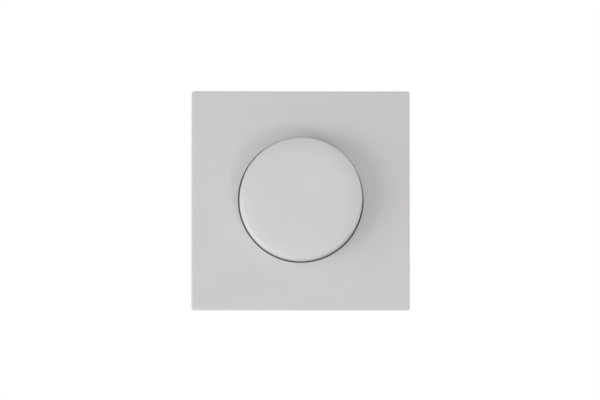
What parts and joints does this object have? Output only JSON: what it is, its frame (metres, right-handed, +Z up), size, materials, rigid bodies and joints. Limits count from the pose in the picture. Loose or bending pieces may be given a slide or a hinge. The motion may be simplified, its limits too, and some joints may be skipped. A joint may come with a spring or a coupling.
{
  "type": "dimmer switch",
  "caption": "Rotary push dimmer for a flush wall box: plain square cover plate, round satin knob that turns and presses, steel carrier plate and an electronics insert with screw terminals.",
  "frame": {"origin": "centre of the cover plate on the wall's surface, at the back of the carrier plate", "axes": "+X to the right as seen by the user, +Z up the wall, -Y out into the room along the knob's axis"},
  "size_m": [0.08, 0.0438, 0.08],
  "materials": {
    "knob_plastic": "satin light grey moulded thermoplastic",
    "plate_plastic": "satin light grey moulded thermoplastic",
    "zinc_steel": "zinc plated sheet",
    "screw_steel": "zinc plated",
    "spring_steel": "drawn spring steel",
    "nut_metal": "nickel plated brass",
    "contact_brass": "bare brass",
    "shaft_plastic": "glass filled nylon",
    "housing_plastic": "dark grey moulded thermoplastic",
    "terminal_plastic": "mid grey moulded thermoplastic",
    "board_laminate": "lacquered glass laminate",
    "track_laminate": "paper laminate",
    "black_plastic": "black moulded thermoplastic",
    "white_plastic": "natural acetal",
    "sink_aluminium": "bent sheet",
    "core_coating": "coated iron powder",
    "copper_wire": "enamelled copper",
    "capacitor_box": "boxed film capacitor",
    "capacitor_sleeve": "shrink sleeve",
    "fuse_plastic": "moulded body",
    "resistor_lacquer": "lacquered"
  },
  "bodies": {
    "base": {"cover_plate": "plate_plastic", "retaining_nut": "nut_metal", "carrier_plate": "zinc_steel", "fixing_screws": "screw_steel", "housing_base": "housing_plastic", "housing_lid": "housing_plastic", "circuit_board": "board_laminate", "potentiometer_case": "black_plastic", "threaded_bush": "nut_metal", "resistance_track": "track_laminate", "switch_case": "black_plastic", "fixed_contacts": "contact_brass", "return_spring": "spring_steel", "heat_sink": "sink_aluminium", "power_transistor": "black_plastic", "choke_core": "core_coating", "choke_winding": "copper_wire", "suppressor_capacitor": "capacitor_box", "supply_capacitor": "capacitor_sleeve", "micro_fuse": "fuse_plastic", "control_chip": "black_plastic", "resistors": "resistor_lacquer", "terminal_block": "terminal_plastic", "terminal_clamps": "contact_brass", "terminal_screws": "screw_steel"},
    "plunger": {"switch_plunger": "white_plastic", "contact_bridge": "contact_brass"},
    "knob": {"control_knob": "knob_plastic", "knob_grip_ring": "spring_steel", "shaft": "shaft_plastic"},
    "rotor": {"rotor": "white_plastic", "wiper": "contact_brass"}
  },
  "joints": [
    {"name": "knob_push", "type": "slide", "parent": "base", "child": "plunger", "axis": [0, 1, 0], "range_m": [0, 0.0015], "stiffness_N_per_m": 1500, "springref_m": -0.0015, "deforming": ["return_spring"]},
    {"name": "knob_turn", "type": "hinge", "parent": "plunger", "child": "knob", "pos_m": [0, 0, 0], "axis": [0, 1, 0], "range_deg": [-135, 135]},
    {"name": "rotor_turn", "type": "hinge", "parent": "base", "child": "rotor", "pos_m": [0, 0, 0], "axis": [0, 1, 0], "range_deg": [-135, 135]}
  ],
  "couplings": [
    {"joint": "rotor_turn", "follows": "knob_turn", "ratio": 1}
  ]
}
